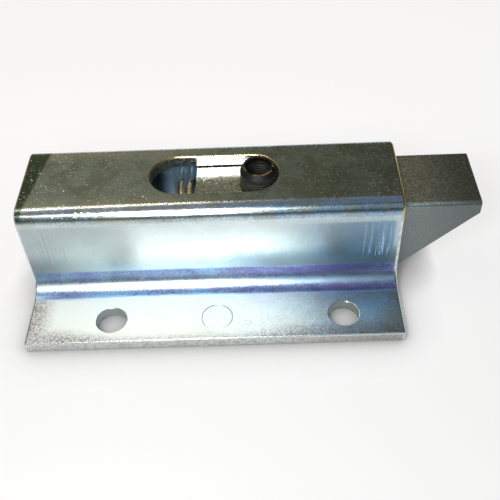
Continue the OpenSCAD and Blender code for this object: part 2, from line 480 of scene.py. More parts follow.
def scratch_group(name):
    """Thin scratches in a few directions"""
    tree, given, result = start_group(
        name, [("Position", VECTOR), ("Amount", NUMBER)], [("Scratches", NUMBER)])
    place = given.outputs["Position"]
    scratched = 0.0
    for turn, thinness in SCRATCHES:
        lines = drawn_out(tree, place, (18.0, thinness, 60.0), turn=turn)
        seen = noise(tree, place, 70.0 + thinness / 20, 1.0)
        line = product(tree, fade(tree, lines, 0.70, 0.78), fade(tree, seen, 0.48, 0.62))
        scratched = calc(tree, "MAXIMUM", line, scratched)
    scratched = product(tree, scratched, given.outputs["Amount"])
    tree.links.new(scratched, result.inputs["Scratches"])
    return tree


# Thickness of the film at which each colour begins and is complete
TURNS_BLUE, TURNS_VIOLET, TURNS_TEAL = (0.15, 0.55), (0.55, 0.85), (0.90, 1.05)
TEAL = (0.24, 0.46, 0.50)
# How much the film's thickness wanders over a few millimetres, and from crystal to crystal
FILM_DRIFT, FILM_GRAIN = 0.8, 0.5


def film_group(name):
    """Colours of the passivation film: clear, blue, violet and teal as it gets thicker"""
    tree, given, result = start_group(
        name,
        [("Position", VECTOR), ("Thickness", NUMBER), ("Zinc", COLOUR), ("Blue", COLOUR),
         ("Violet", COLOUR)],
        [("Color", COLOUR)])
    place = given.outputs["Position"]
    longer = add(tree, "ShaderNodeMapping", {"Vector": place, "Scale": (0.6, 1.0, 1.0)}).outputs[0]
    drift = noise(tree, longer, 60.0, 4.0, 0.6, 0.8)
    fine = noise(tree, place, 1300.0, 2.0, 0.6)
    thick = total(tree, given.outputs["Thickness"],
                  product(tree, from_half(tree, drift), FILM_DRIFT),
                  product(tree, from_half(tree, fine), FILM_GRAIN))
    tone = given.outputs["Zinc"]
    for turns, shade in ((TURNS_BLUE, given.outputs["Blue"]),
                         (TURNS_VIOLET, given.outputs["Violet"]), (TURNS_TEAL, TEAL)):
        tone = mix(tree, fade(tree, thick, *turns), tone, shade)
    tree.links.new(tone, result.inputs["Color"])
    return tree


def crystals_on(tree, place, fineness, share):
    """The zinc crystals on a face, so many per metre, with that share of them bright"""
    return use_group(tree, "zinc crystals", crystal_group,
                     {"Position": place, "Scale": fineness, "Share": share})


def scratches_on(tree, place, amount):
    """The fine scratches on a face"""
    return use_group(tree, "fine scratches", scratch_group,
                     {"Position": place, "Amount": amount})["Scratches"]


def film_on(tree, place, thickness, bare, colours):
    """The colour of a face under its film"""
    return use_group(tree, "passivation film", film_group,
                     {"Position": place, "Thickness": thickness, "Zinc": bare,
                      "Blue": colours.blue, "Violet": colours.violet})["Color"]


def start_material(name):
    """An empty metal material: its tree, its shader and the object's own coordinates"""
    material = bpy.data.materials.new(name)
    material.use_nodes = True
    tree = material.node_tree
    tree.nodes.clear()
    shader = add(tree, "ShaderNodeBsdfPrincipled", {"Metallic": 1.0})
    end = tree.nodes.new("ShaderNodeOutputMaterial")
    tree.links.new(shader.outputs[0], end.inputs["Surface"])
    place = tree.nodes.new("ShaderNodeTexCoord").outputs["Object"]
    return material, tree, shader, place


def connect(tree, shader, tone, rough, normal):
    """Links a finish's colour, roughness and surface to its shader"""
    for socket, value in (("Base Color", tone), ("Roughness", rough), ("Normal", normal)):
        tree.links.new(value, shader.inputs[socket])


# Finishes

# The housing's ends, top and foot edges, in millimetres from the frame's origin
REAR, FRONT = HOUSING_LOW.x / MM, HOUSING_HIGH.x / MM
TOP, FOOT_EDGE = HOUSING_HIGH.z / MM, HOUSING_HIGH.y / MM

# Where each tone of the sheet comes in, from none to full, in millimetres along one axis
FLAT_TOP_UP = (TOP - 0.3, TOP - 0.05)
TOP_BEND_UP = (TOP - 5.3, TOP - 3.9)
BELOW_TOP_BEND = (TOP - 4.3, TOP - 6.3)
OUTER_FACES_OUT = (15.4, 16.2)
FOOT_BEND_DOWN = (11.8, 11.0)
LOW_WALL_DOWN = (21.0, 13.0)
FOOT_OUT = (21.4, 23.4)
FRONT_PART = (-25.0, FRONT - 6.5)
BLUE_PART = {"up to": (TOP - 6.3, TOP - 7.8), "down to": (12.0, 14.0),
             "from": (14.0, 44.0), "to": (FRONT - 2.0, FRONT - 3.5)}
REAR_WALL = (-24.0, -36.0)

# The film's bands along the foot bend. A place across the bend is measured by these shares
# of its height and of its distance from the housing's middle
BEND_UP, BEND_OUT = 0.692, 0.722
BEND_MIDDLE = -9.0
BAND_EDGE, BAND_RAGGED = (0.9, 2.0), 4.0
UPPER_BAND, MIDDLE_BAND = (-8.4, -7.6), (2.4, 1.0)
# Colour of the painted shade laid over bands of the foot bend
BAND_PAINTED_SHADE = (0.07, 0.11, 0.18)


def sheet_places(tree, place, crystals):
    """Masks of the housing's faces and bends, and the places across its foot bends"""
    x, y, z = axes_of(tree, place)
    out = away_from(tree, y)
    outer = over(tree, out, OUTER_FACES_OUT)
    at = SimpleNamespace(x=x, y=y, z=z, out=out)
    at.top = over(tree, z, FLAT_TOP_UP)
    at.top_bend = calc(tree, "SUBTRACT", over(tree, z, TOP_BEND_UP), at.top)
    at.foot_bend = product(tree, outer, over(tree, z, FOOT_BEND_DOWN))
    at.low_wall = product(tree, outer, over(tree, z, LOW_WALL_DOWN))
    at.frontward = over(tree, x, FRONT_PART)
    at.foot = over(tree, out, FOOT_OUT)
    at.foot_rear = product(tree, at.foot, left_over(tree, at.frontward))
    at.wall = product(tree, over(tree, z, BELOW_TOP_BEND), left_over(tree, at.foot_bend))
    at.rear_wall = product(tree, at.wall, over(tree, x, REAR_WALL))
    at.blue_part = product(
        tree, over(tree, z, BLUE_PART["up to"]), over(tree, z, BLUE_PART["down to"]),
        over(tree, x, BLUE_PART["from"]), over(tree, x, BLUE_PART["to"]))
    at.across_bend = calc(tree, "SUBTRACT", product(tree, z, BEND_UP), product(tree, out, BEND_OUT))
    ragged = product(tree, from_half(tree, crystals["Grain"]), BAND_RAGGED * MM)
    at.from_middle = away_from(tree, total(tree, at.across_bend, ragged), BEND_MIDDLE)
    at.speckled = calc(tree, "MAXIMUM", at.top, product(tree, at.foot, 0.42))
    at.speckled = calc(tree, "MAXIMUM", at.speckled, product(tree, at.top_bend, 0.15))
    return at


# Thickness of the film: in the middle of a foot bend and in its bands, what the front part
# adds to both, and on the other faces
MIDDLE_FILM, BAND_FILM = 0.15, 0.68
MIDDLE_FILM_FRONT, BAND_FILM_FRONT = 0.28, 0.08
FOOT_FILM, WALL_FILM, LOW_WALL_FILM, BLUE_PART_FILM = 0.44, 0.22, 0.30, 0.24
TOP_BEND_FILM_REAR, TOP_BEND_FILM_FRONT = 0.22, 0.36


def sheet_film(tree, at):
    """Thickness of the passivation film over the sheet"""
    bands = total(
        tree, over(tree, at.from_middle, BAND_EDGE, MIDDLE_FILM, BAND_FILM),
        product(tree, at.frontward,
                over(tree, at.from_middle, BAND_EDGE, MIDDLE_FILM_FRONT, BAND_FILM_FRONT)))
    bands = calc(tree, "SUBTRACT", product(tree, at.foot_bend, bands), at.foot)
    on_foot = product(tree, at.foot, at.frontward, FOOT_FILM)
    on_wall = product(tree, left_over(tree, at.foot_bend), total(
        tree, product(tree, at.frontward, WALL_FILM), product(tree, at.low_wall, LOW_WALL_FILM)))
    on_top_bend = product(tree, at.top_bend, fade(
        tree, at.frontward, 0.0, 1.0, TOP_BEND_FILM_REAR, TOP_BEND_FILM_FRONT))
    return total(tree, calc(tree, "MAXIMUM", bands, on_foot), on_wall, on_top_bend,
                 product(tree, at.blue_part, BLUE_PART_FILM))


# The part of the wall spared the darkest painted shade, as its middle and how far it reaches, and the
# stretches towards both ends where painted shade darkens the walls
BRIGHT_MIDDLE, BRIGHT_REACH = -20.0, (38.0, 18.0)
WALL_SHADE_REAR, WALL_SHADE_FRONT = (-26.0, -42.0), (8.0, 30.0)


def walls_shade_and_film(tree, tone, at):
    """Painted shade in grey low on the walls, darker away from their bright middle and towards both
    ends, a blue film stain on the front part, and painted shade over bands along the foot bend
    """
    dull_or_shaded = left_over(tree, over(tree, away_from(tree, at.x, BRIGHT_MIDDLE), BRIGHT_REACH))
    # Painted shade low on the walls, darkest away from the bright middle, and towards both ends; the
    # blue part is a stain of the film
    for shaded_or_stained, share, shade_or_stain in (
            (at.low_wall, 0.55, (0.33, 0.44, 0.50)),
            (product(tree, at.low_wall, dull_or_shaded), 0.90, (0.12, 0.16, 0.19)),
            (over(tree, at.x, WALL_SHADE_REAR), 0.60, (0.33, 0.42, 0.44)),
            (over(tree, at.x, WALL_SHADE_FRONT), 0.25, (0.30, 0.42, 0.48)),
            (at.blue_part, 0.55, (0.16, 0.28, 0.38))):
        tone = mix(tree, product(tree, shaded_or_stained, at.wall, share), tone, shade_or_stain)
    on_bend = product(tree, at.foot_bend, left_over(tree, at.foot))
    # Painted shade over the upper band, more towards the rear, and over the highlight in the middle of
    # the bend towards the front
    upper_band = product(tree, over(tree, at.across_bend, UPPER_BAND), on_bend,
                         fade(tree, at.frontward, 0.0, 0.8, 0.40, 0.0))
    middle = product(tree, over(tree, at.from_middle, MIDDLE_BAND), on_bend, at.frontward, 0.62)
    return mix(tree, calc(tree, "MAXIMUM", upper_band, middle), tone, BAND_PAINTED_SHADE)


# Dull crystals of the top: the pattern, its range, how strong it is and its colour
DULL_CRYSTALS = (
    ("Patches", 0.42, 0.60, 0.55, (0.36, 0.37, 0.27)),
    ("Mottle", 0.35, 0.70, 0.50, (0.34, 0.34, 0.28)),
    ("Grain", 0.40, 0.65, 0.45, (0.24, 0.25, 0.20)))
DULL_UP, DULL_FOOT = (TOP - 5.8, TOP - 2.8), (5.0, 40.0)
# A painted highlight: a pale warm tone along the top's long edges, stronger towards the rear
TOP_GLINT_OUT, TOP_GLINT_REAR, TOP_GLINT_SHARE = (7.0, 13.0), (12.0, -20.0), 0.45
TOP_GLINT_TONE = (0.95, 0.94, 0.82)
# The dark band across the rear end of the top: its ragged edge, its slant and its colour
END_BAND, END_BAND_UP = (REAR + 6.1, REAR + 5.1), (TOP - 4.3, TOP - 1.3)
END_BAND_RAGGED, END_BAND_SLANT, END_BAND_TONE = 1.5, 0.17, (0.07, 0.11, 0.06)


def dulled_top(tree, tone, at, crystals):
    """Olive and grey crystals on the top and the front of the feet, a painted highlight along the top's
    long edges towards the rear, and the dark rear band
    """
    dulled = calc(tree, "MAXIMUM", over(tree, at.z, DULL_UP, 0.15, 1.0),
                  product(tree, at.foot, over(tree, at.x, DULL_FOOT, 0.15, 0.75)))
    for pattern, start, end, share, dull_or_shaded in DULL_CRYSTALS:
        amount = product(tree, fade(tree, crystals[pattern], start, end, 0.0, share), dulled)
        tone = mix(tree, amount, tone, dull_or_shaded)
    # Painted highlight along the top's long edges
    top_glint = product(tree, at.top, over(tree, at.out, TOP_GLINT_OUT),
                   over(tree, at.x, TOP_GLINT_REAR, 0.0, TOP_GLINT_SHARE))
    tone = mix(tree, top_glint, tone, TOP_GLINT_TONE)
    ragged = total(tree, at.x, product(tree, crystals["Mottle"], END_BAND_RAGGED * MM))
    slanted = calc(tree, "SUBTRACT", ragged, product(tree, at.y, END_BAND_SLANT))
    band = product(tree, over(tree, slanted, END_BAND), over(tree, at.z, END_BAND_UP), 0.85)
    return mix(tree, band, tone, END_BAND_TONE)


# A painted highlight: the rear part of the foot made near-white
FOOT_GLARE_TONE, FOOT_GLARE_SHARE = (0.97, 0.98, 0.90), 0.8
# The brown stain along the foot's edge: how far out it begins, less in the clean middle
RIM_OUT, RIM_REAR = (FOOT_EDGE - 7.2, FOOT_EDGE - 1.7), (REAR + 9.5, REAR + 1.5)
CLEAN_MIDDLE, CLEAN_REACH, CLEAN_DEPTH = -15.0, (42.0, 18.0), 3.5
RIM_TONE = (0.27, 0.23, 0.24)


def glared_foot_and_rim(tree, tone, at, crystals):
    """A near-white rear part of the foot, which is a painted highlight, with a speckled brown rim"""
    tone = mix(tree, product(tree, at.foot_rear, FOOT_GLARE_SHARE), tone, FOOT_GLARE_TONE)
    clean = over(tree, away_from(tree, at.x, CLEAN_MIDDLE), CLEAN_REACH, 0.0, CLEAN_DEPTH * MM)
    rim = calc(tree, "MAXIMUM", over(tree, calc(tree, "SUBTRACT", at.out, clean), RIM_OUT),
               product(tree, at.foot, over(tree, at.x, RIM_REAR)))
    speckled = fade(tree, crystals["Grain"], 0.45, 0.58, 0.35, 0.97)
    return mix(tree, product(tree, rim, speckled), tone, RIM_TONE)


def sheet_roughness(tree, at, crystals, scratches):
    """Roughness of the sheet: mottled, and rougher or smoother from face to face"""
    rough = fade(tree, crystals["Mottle"], 0.3, 0.75, 0.29, 0.35)
    raised = product(tree, crystals["Specks"], at.speckled)
    for mask, rougher in ((raised, 0.25), (at.rear_wall, 0.10), (at.top_bend, -0.10),
                          (at.foot_bend, 0.04), (at.top, -0.08), (at.foot, 0.01),
                          (at.foot_rear, 0.22), (scratches, 0.15)):
        rough = total(tree, rough, product(tree, mask, rougher))
    return rough


# The brushed streaks near the walls' ends: their heights and places, and the depths in
# millimetres of the sheet's waves, of these streaks and of its crystals
STREAKS_UP, STREAKS_DOWN = (14.0, 18.0), (TOP - 6.3, TOP - 9.3)
STREAKS_MIDDLE, STREAKS_FROM, STREAKS_TO = -4.0, (44.0, 54.0), (57.5, 56.5)
WAVE_DEPTH, STREAK_DEPTH, CRYSTAL_DEPTH = 0.07, 0.14, 0.003
SPECK_TILT = 1.4


def sheet_surface(tree, place, at, crystals, scratches):
    """Waves, brushed streaks and crystals of the sheet"""
    normal = bump(tree, noise(tree, place, 85.0, 2.0), WAVE_DEPTH)
    streaks = drawn_out(tree, place, (1500.0, 25.0, 25.0))
    from_middle = away_from(tree, at.x, STREAKS_MIDDLE)
    brushed = product(
        tree, fade(tree, streaks, 0.50, 0.70),
        over(tree, at.z, STREAKS_UP), over(tree, at.z, STREAKS_DOWN),
        over(tree, from_middle, STREAKS_FROM), over(tree, from_middle, STREAKS_TO))
    normal = bump(tree, brushed, STREAK_DEPTH, normal)
    normal = bump(tree, calc(tree, "SUBTRACT", crystals["Height"], scratches), CRYSTAL_DEPTH,
                  normal)
    return tilted(tree, normal, crystals["Tilt"], product(tree, at.speckled, SPECK_TILT))


def plated_sheet(colours):
    """Zinc plated sheet with a blue and violet film low on the walls and on the feet"""
    material, tree, shader, place = start_material("zinc plated sheet")
    crystals = crystals_on(tree, place, 1800.0, 0.20)
    scratches = scratches_on(tree, place, 1.0)
    at = sheet_places(tree, place, crystals)
    tone = film_on(tree, place, sheet_film(tree, at), colours.zinc, colours)
    tone = walls_shade_and_film(tree, tone, at)
    tone = dulled_top(tree, tone, at, crystals)
    tone = glared_foot_and_rim(tree, tone, at, crystals)
    tone = mix(tree, product(tree, crystals["Specks"], at.speckled), tone, colours.speck)
    # Less metallic on the rear part of the foot, under its painted highlight
    metal_share = left_over(tree, product(tree, at.foot_rear, 0.55))
    tree.links.new(metal_share, shader.inputs["Metallic"])
    connect(tree, shader, tone, sheet_roughness(tree, at, crystals, scratches),
            sheet_surface(tree, place, at, crystals, scratches))
    return material


# Where painted shade darkens the cut edges: towards the front end, high up at the slot's rear end and
# down in the holes of the feet
DARKER_FRONT, SLOT_REAR, SLOT_UP, IN_FOOT = (5.0, 55.0), (-8.0, -10.0), (30.0, 32.0), (10.0, 6.0)
FRONT_CUT_SHADE, SLOT_END_SHADE, HOLE_WALL_SHADE = (0.20, 0.21, 0.19), (0.05, 0.10, 0.14), (0.24, 0.29, 0.25)


def sheared_edge(name, smooth, fracture, zinc, depth, hole_shade):
    """Cut edge of the sheet: a smooth and a torn part, with marks across the thickness, and painted
    shade towards the front end, at the slot's rear end and in the holes
    """
    material, tree, shader, place = start_material(name)
    x, _, z = axes_of(tree, place)
    marks = drawn_out(tree, place, (900.0, 900.0, 140.0), 3.0)
    torn = noise(tree, place, 700.0, 4.0, 0.65)
    tone = mix(tree, fade(tree, torn, 0.42, 0.62), smooth, fracture)
    tone = mix(tree, fade(tree, marks, 0.55, 0.75, 0.0, 0.5), tone, zinc)
    # Painted shade towards the front end, high up at the slot's rear end and down the holes
    tone = mix(tree, over(tree, x, DARKER_FRONT, 0.0, 0.50), tone, FRONT_CUT_SHADE)
    at_slot = product(tree, over(tree, x, SLOT_REAR, 0.0, 0.85), over(tree, z, SLOT_UP))
    tone = mix(tree, at_slot, tone, SLOT_END_SHADE)
    tone = mix(tree, over(tree, z, IN_FOOT, 0.0, hole_shade), tone, HOLE_WALL_SHADE)
    normal = bump(tree, torn, 2 * depth, bump(tree, marks, depth))
    connect(tree, shader, tone, fade(tree, torn, 0.35, 0.65, 0.26, 0.48), normal)
    return material


UNLIT_REAR = (-17.5, -23.0)


def inner_face(colours):
    """Smooth bluish zinc inside the housing, with a painted shadow that makes it black behind the slot
    """
    material, tree, shader, place = start_material("inner face")
    spots = noise(tree, place, 600.0, 3.0)
    tone = mix(tree, fade(tree, spots, 0.4, 0.7, 0.0, 0.3), colours.inside, (0.20, 0.24, 0.28))
    # Painted shadow of the slot's rear end on the inside
    unlit = over(tree, axes_of(tree, place)[0], UNLIT_REAR, 0.0, 0.97)
    tone = mix(tree, unlit, tone, (0.01, 0.02, 0.02))
    shader.inputs["Metallic"].default_value = 0.85
    connect(tree, shader, tone, fade(tree, spots, 0.3, 0.7, 0.10, 0.18),
            bump(tree, spots, 0.004))
    return material


# Where the rolled edges are golden: high up, round the slot and at the front end
GOLDEN_UP, GOLDEN_SLOT, GOLDEN_END = (30.0, 33.0), (11.0, 10.0), (FRONT - 2.5, FRONT - 1.5)


def rolled_edge(colours):
    """Rounded edges: golden round the slot and at the front end, bare zinc elsewhere"""
    material, tree, shader, place = start_material("rolled edge")
    x, y, z = axes_of(tree, place)
    spots = noise(tree, place, 500.0, 3.0)
    golden = product(tree, over(tree, z, GOLDEN_UP), calc(
        tree, "MAXIMUM", over(tree, away_from(tree, y), GOLDEN_SLOT), over(tree, x, GOLDEN_END)))
    tone = mix(tree, golden, colours.zinc, colours.rolled)
    tone = mix(tree, fade(tree, spots, 0.4, 0.7, 0.0, 0.4), tone, (0.34, 0.30, 0.20))
    connect(tree, shader, tone, fade(tree, spots, 0.3, 0.7, 0.20, 0.30),
            bump(tree, spots, 0.006))
    return material


# The bar's top face and the edges under it, down from its top in millimetres, and the stretches along it
# where painted shade darkens it towards the nose and where it is polished under the slot
BAR_TOP = BOLT_HIGH.z / MM
BAR_FACE_UP, BAR_EDGE_UP = (BAR_TOP - 0.6, BAR_TOP - 0.1), (BAR_TOP - 2.5, BAR_TOP - 1.0)
NOSE_SHADE, POLISHED = (60.0, 80.0), (50.0, 30.0)


def bar_tone(tree, place, crystals, on_top, colours):
    """Colour of the bar: satin grey sides, a near-white top that is a painted highlight, and painted
    shade towards the nose
    """
    x, _, z = axes_of(tree, place)
    edge = calc(tree, "SUBTRACT", over(tree, z, BAR_EDGE_UP, 0.05, 0.30),
                product(tree, on_top, 0.30))
    tone = film_on(tree, place, edge, colours.bar, colours)
    # A painted highlight on the top face and painted shade towards the nose, among the crystals' own
    # tones and specks
    for mask, shade in (
            (on_top, (0.95, 0.94, 0.86)),
            (fade(tree, crystals["Mottle"], 0.35, 0.70, 0.0, 0.35), (0.24, 0.26, 0.25)),
            (fade(tree, crystals["Grain"], 0.38, 0.62, 0.0, 0.65), (0.17, 0.18, 0.17)),
            (over(tree, x, NOSE_SHADE, 0.0, 0.65), (0.12, 0.14, 0.14)),
            (product(tree, crystals["Specks"], on_top), (0.80, 0.80, 0.74))):
        tone = mix(tree, mask, tone, shade)
    return tone


def satin_bar(colours):
    """Plated bar stock, satin on its milled faces"""
    material, tree, shader, place = start_material("zinc plated bar")
    x, _, z = axes_of(tree, place)
    crystals = crystals_on(tree, place, 2300.0, 0.08)
    scratches = scratches_on(tree, place, 0.8)
    on_top = over(tree, z, BAR_FACE_UP)
    polished = product(tree, on_top, over(tree, x, POLISHED, 0.25, 1.0))
    rough = total(tree, fade(tree, crystals["Mottle"], 0.3, 0.75, 0.36, 0.44),
                  product(tree, scratches, 0.12), product(tree, polished, -0.17))
    drawn = drawn_out(tree, place, (30.0, 1500.0, 1500.0), 2.0)
    normal = bump(tree, drawn, 0.004, bump(tree, noise(tree, place, 100.0, 2.0), 0.015))
    normal = bump(tree, calc(tree, "SUBTRACT", crystals["Height"], scratches), 0.012, normal)
    normal = tilted(tree, normal, crystals["Tilt"], fade(tree, on_top, 0.0, 1.0, 0.3, SPECK_TILT))
    connect(tree, shader, bar_tone(tree, place, crystals, on_top, colours), rough, normal)
    return material


# The pin's rubbed rim, its chamfer under painted shade and the rings below it, up from the mounting face
# in millimetres, and how far the rubbed copper, partly a painted highlight, grows from the rear to the
# front of the rim
PIN_TOP = PIN_HIGH.z / MM
RUBBED_UP, CHAMFER_UP, RINGS_DOWN = (
    (PIN_TOP - 0.08, PIN_TOP - 0.03), (PIN_TOP - 1.7, PIN_TOP - 1.4), (TOP - 0.1, TOP - 0.7))
RUBBED_AND_GLINT_FORWARD = (2.0, -2.0)


def black_spring_steel(colours):
    """Blackened pin with faint rings round it, painted shade on its chamfer and a rubbed copper rim,
    made strongest at the front as a painted highlight
    """
    material, tree, shader, place = start_material("black spring steel")
    _, y, z = axes_of(tree, place)
    spots = noise(tree, place, 900.0, 3.0)
    tone = mix(tree, fade(tree, spots, 0.5, 0.75, 0.0, 0.5), colours.black, (0.10, 0.085, 0.08))
    # Painted shade on the chamfer
    tone = mix(tree, over(tree, z, CHAMFER_UP, 0.0, 0.85), tone, (0.02, 0.02, 0.02))
    # Copper of the rubbed rim, partly a painted highlight: strongest at the front
    rubbed_and_glint = product(tree, over(tree, z, RUBBED_UP, 0.0, 0.4),
                     fade(tree, noise(tree, place, 260.0, 2.0), 0.40, 0.58),
                     over(tree, y, RUBBED_AND_GLINT_FORWARD, 0.25, 1.6))
    tone = mix(tree, rubbed_and_glint, tone, colours.copper)
    rings = add(tree, "ShaderNodeTexWave", {"Vector": place, "Scale": 330.0, "Distortion": 1.5},
                bands_direction="Z").outputs["Fac"]
    normal = bump(tree, drawn_out(tree, place, (60.0, 60.0, 1500.0), 2.0), 0.020)
    normal = bump(tree, product(tree, rings, over(tree, z, RINGS_DOWN)), 0.14, normal)
    normal = bump(tree, spots, 0.006, normal)
    connect(tree, shader, tone, fade(tree, spots, 0.3, 0.7, 0.54, 0.64), normal)
    return material


def spring_steel():
    """Warm zinc plated wire"""
    material, tree, shader, place = start_material("plated spring wire")
    spots = noise(tree, place, 700.0, 3.0)
    tone = mix(tree, fade(tree, spots, 0.40, 0.65, 0.0, 0.7), (0.84, 0.72, 0.52),
               (0.60, 0.46, 0.28))
    connect(tree, shader, tone, fade(tree, spots, 0.3, 0.7, 0.28, 0.36),
            bump(tree, spots, 0.004))
    return material


def weld_metal(colours):
    """Plated weld bead, duller and browner than the sheet"""
    material, tree, shader, place = start_material("plated weld bead")
    spots = noise(tree, place, 500.0, 4.0, 0.6)
    tone = mix(tree, fade(tree, spots, 0.40, 0.65), colours.zinc, (0.40, 0.37, 0.33))
    connect(tree, shader, tone, fade(tree, spots, 0.3, 0.7, 0.30, 0.50),
            bump(tree, spots, 0.05))
    return material


def finish(name, maker, *settings):
    """The material of that name, made once"""
    return bpy.data.materials.get(name) or maker(*settings)


# Pieces


# The finishes of the housing's faces, in the order of its materials after the sheet's own
CUT_END, PUNCHED, FOOT_CUT, ROLLED, INNER = range(1, 6)
BEND_STEPS, SLOT_SIDES, ROLL_STEPS = 18, 96, 5
# How upright a wall is, and how square to the housing's length its end
UPRIGHT, SQUARE_ON = 0.5, 0.99


def folded_sheet(sizes):
    """The sheet bent along its four fold lines, as one closed skin"""
    foot_y, wall_y, top = HOUSING_HIGH.y, sizes.wall_y, HOUSING_HIGH.z
    folds = [(-foot_y, sizes.sheet), (-wall_y, sizes.sheet), (-wall_y, top),
             (wall_y, top), (wall_y, sizes.sheet), (foot_y, sizes.sheet)]
    bm = bmesh.new()
    verts = [bm.verts.new((HOUSING_LOW.x, y, z)) for y, z in folds]
    edges = [bm.edges.new(pair) for pair in zip(verts, verts[1:])]
    drawn = bmesh.ops.extrude_edge_only(bm, edges=edges)["geom"]
    moved = [part for part in drawn if isinstance(part, bmesh.types.BMVert)]
    bmesh.ops.translate(bm, verts=moved, vec=(HOUSING_HIGH.x - HOUSING_LOW.x, 0.0, 0.0))
    for height, radius in ((top, sizes.top_bend), (sizes.sheet, sizes.foot_bend)):
        bend_lines = [edge for edge in bm.edges if len(edge.link_faces) == 2
                      and all(abs(vert.co.z - height) < CLOSE for vert in edge.verts)
                      and abs(edge.verts[0].co.x - edge.verts[1].co.x) > MM]
        bmesh.ops.bevel(bm, geom=bend_lines, offset=radius, offset_type="OFFSET",
                        segments=BEND_STEPS, profile=0.5, affect="EDGES", material=-1)
    bmesh.ops.recalc_face_normals(bm, faces=bm.faces)
    top_face = max(bm.faces, key=lambda face: face.calc_center_median().z)
    if top_face.normal.z < 0:
        bmesh.ops.reverse_faces(bm, faces=bm.faces)
    mesh = bpy.data.meshes.new("housing_sheet")
    bm.to_mesh(mesh)
    bm.free()
    sheet = bpy.data.objects.new("housing_sheet", mesh)
    bpy.context.scene.collection.objects.link(sheet)
    wall = sheet.modifiers.new("sheet", "SOLIDIFY")
    wall.thickness = sizes.sheet
    wall.offset = -1.0
    wall.use_even_offset = True
    wall.use_quality_normals = True
    settle(sheet)
    return sheet


def slot_cutter(sizes):
    """A block with half-round ends, as long and as wide as the finger slot"""
    radius = sizes.slot_width / 2
    low, high = HOUSING_HIGH.z - sizes.sheet - PAST, HOUSING_HIGH.z + PAST
    rear = sizes.slot_front - sizes.slot_length + radius
    front = sizes.slot_front - radius
    bm = bmesh.new()
    made = bmesh.ops.create_circle(
        bm, cap_ends=True, segments=SLOT_SIDES, radius=radius,
        matrix=Matrix.Translation((rear, sizes.slot_shift, low)))["verts"]
    ahead = [vert for vert in made if vert.co.x > rear + CLOSE]
    middle = [vert for vert in made if abs(vert.co.x - rear) <= CLOSE]
    bmesh.ops.translate(bm, verts=ahead, vec=(front - rear, 0.0, 0.0))
    for vert in middle:
        edge = next(edge for edge in vert.link_edges if edge.other_vert(vert) in ahead)
        _, born = bmesh.utils.edge_split(edge, vert, 0.0)
        born.co.x += front - rear
    lifted = bmesh.ops.extrude_face_region(bm, geom=bm.faces[:])["geom"]
    lifted = [part for part in lifted if isinstance(part, bmesh.types.BMVert)]
    bmesh.ops.translate(bm, verts=lifted, vec=(0.0, 0.0, high - low))
    return make_piece("slot_cutter", bm)


def mark_cut_faces(sheet, sizes):
    """Gives the sheared ends, the foot edges, the punched walls and the inside their own finish"""
    for face in sheet.data.polygons:
        across = abs(face.normal.z) < UPRIGHT
        at_end = abs(face.normal.x) > SQUARE_ON and not (
            HOUSING_LOW.x + MM < face.center.x < HOUSING_HIGH.x - MM)
        at_foot_edge = abs(face.center.y) > HOUSING_HIGH.y - NEAR_FACE
        inside = (abs(face.center.y) < sizes.wall_y - sizes.sheet + NEAR_FACE
                  and face.center.z < HOUSING_HIGH.z - sizes.sheet + NEAR_FACE)
        in_foot = face.center.z < sizes.sheet and abs(face.center.y) > sizes.wall_y + MM
        in_top = face.center.z > HOUSING_HIGH.z - sizes.sheet and (
            abs(face.center.y) < sizes.slot_width / 2 + MM)
        if at_end:
            face.material_index = CUT_END
        elif at_foot_edge:
            face.material_index = FOOT_CUT
        elif inside:
            face.material_index = INNER
        elif across and (in_foot or in_top) and len(face.vertices) == 4:
            if in_top or abs(face.center.y) > sizes.wall_y + sizes.foot_bend:
                face.material_index = PUNCHED


def is_hole_edge(middle, sizes):
    """Whether an edge with that middle lies round one of the holes of the feet"""
    across, along = abs(middle.y), middle.x
    return (sizes.wall_y + sizes.foot_bend < across < HOUSING_HIGH.y - MM
            and HOUSING_LOW.x + MM < along < HOUSING_HIGH.x - MM)


def weigh_rolled_edges(sheet, sizes):
    """Weighs the sharp edges for the rounding: those of the front end fully, the rest less"""
    under_top = HOUSING_HIGH.z - sizes.sheet
    bm = bmesh.new()
    bm.from_mesh(sheet.data)
    weight = bm.edges.layers.float.new("bevel_weight_edge")
    for edge in bm.edges:
        if edge.calc_face_angle(0.0) > SHARP:
            middle = (edge.verts[0].co + edge.verts[1].co) / 2
            at_front = min(vert.co.x for vert in edge.verts) > HOUSING_HIGH.x - CLOSE
            punched_through = (abs(middle.y) < sizes.slot_width / 2 + MM
                               and abs(middle.z - under_top) < CLOSE)
            if at_front:
                rounding = sizes.rolled_end
            elif punched_through:
                rounding = sizes.sharp_edge
            elif is_hole_edge(middle, sizes):
                rounding = sizes.hole_edge
            else:
                rounding = sizes.rolled_edge
            edge[weight] = rounding / sizes.rolled_end
    bm.to_mesh(sheet.data)
    bm.free()


def punch(sheet, sizes, x, y):
    """Punches one round hole down through the sheet"""
    join_or_cut(sheet, drum("punch", sizes.hole_size / 2, (x, y, -PAST),
                            (x, y, sizes.sheet + PAST)))


def cut_finishes(colours):
    """The finishes of the sheared ends, the punched walls and the long foot edges"""
    # The last value of each row is how much painted shade darkens the walls of the holes
    return [finish(name, sheared_edge, name, smooth, fracture, colours.zinc, depth, dull_or_shaded)
            for name, smooth, fracture, depth, dull_or_shaded in (
                ("sheared edge", colours.sheared, colours.fracture, 0.02, 0.0),
                ("punched wall", colours.zinc, colours.foot_edge, 0.004, 0.45),
                ("foot edge", colours.foot_edge, (0.56, 0.55, 0.52), 0.01, 0.0))]


